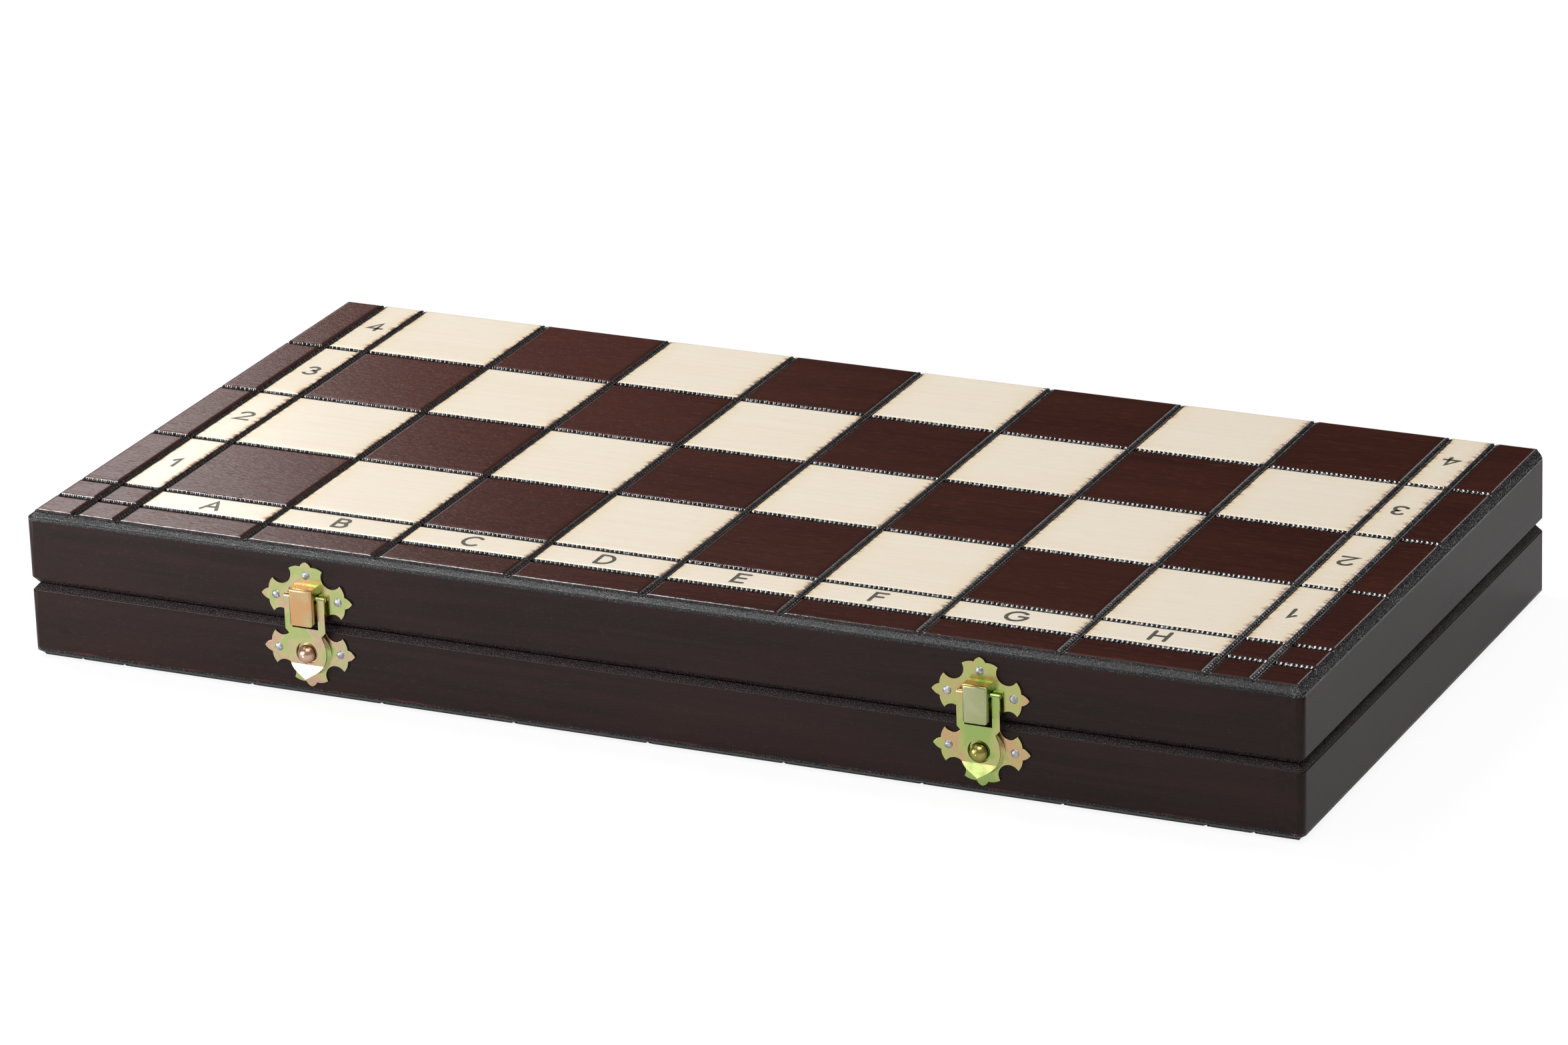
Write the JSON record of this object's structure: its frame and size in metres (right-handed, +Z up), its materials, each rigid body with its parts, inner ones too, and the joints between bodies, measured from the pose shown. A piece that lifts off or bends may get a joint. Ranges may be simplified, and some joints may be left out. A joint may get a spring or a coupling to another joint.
{
  "type": "chess box",
  "caption": "Folding wooden chess box: two shallow halves hinged at the back and held by hasp latches, its outer faces making a chessboard when opened flat.",
  "frame": {"origin": "centre of the underside of the closed box", "axes": "+X along the front towards its right end, +Y from the latched front to the hinged back, +Z up"},
  "size_m": [0.3984, 0.2038, 0.046],
  "materials": {
    "board_wood": "dark brown and natural squares under gloss lacquer, with pressed dark grooves",
    "frame_wood": "dark brown stain under satin lacquer",
    "felt": "short green felt",
    "latch_plating": "bright yellow zinc plating with green and pink tints",
    "knob_copper": "polished",
    "nail_zinc": "bright zinc",
    "hinge_brass": "brass plated steel"
  },
  "bodies": {
    "base": {"base_back_rail": "frame_wood", "base_front_rail": "frame_wood", "base_hinge_nails": "hinge_brass", "base_latch_nails": "nail_zinc", "base_left_rail": "frame_wood", "base_lining": "felt", "base_panel": "board_wood", "base_right_rail": "frame_wood", "left_hinge_base_leaf": "hinge_brass", "left_hinge_pin": "hinge_brass", "left_latch_knob": "knob_copper", "left_latch_lower_plate": "latch_plating", "right_hinge_base_leaf": "hinge_brass", "right_hinge_pin": "hinge_brass", "right_latch_knob": "knob_copper", "right_latch_lower_plate": "latch_plating"},
    "lid": {"left_hinge_lid_leaf": "hinge_brass", "left_latch_upper_plate": "latch_plating", "lid_back_rail": "frame_wood", "lid_front_rail": "frame_wood", "lid_hinge_nails": "hinge_brass", "lid_latch_nails": "nail_zinc", "lid_left_rail": "frame_wood", "lid_lining": "felt", "lid_panel": "board_wood", "lid_right_rail": "frame_wood", "right_hinge_lid_leaf": "hinge_brass", "right_latch_upper_plate": "latch_plating"},
    "left_hasp": {"left_latch_hasp": "latch_plating"},
    "right_hasp": {"right_latch_hasp": "latch_plating"}
  },
  "joints": [
    {"name": "lid_open", "type": "hinge", "parent": "base", "child": "lid", "pos_m": [0, 0.09867, 0.023], "axis": [-1, 0, 0], "range_deg": [0, 180]},
    {"name": "left_hasp_swing", "type": "hinge", "parent": "lid", "child": "left_hasp", "pos_m": [-0.1065, -0.10022, 0.0317], "axis": [-1, 0, 0], "range_deg": [0, 150]},
    {"name": "right_hasp_swing", "type": "hinge", "parent": "lid", "child": "right_hasp", "pos_m": [0.1043, -0.10022, 0.0317], "axis": [-1, 0, 0], "range_deg": [0, 150]}
  ]
}
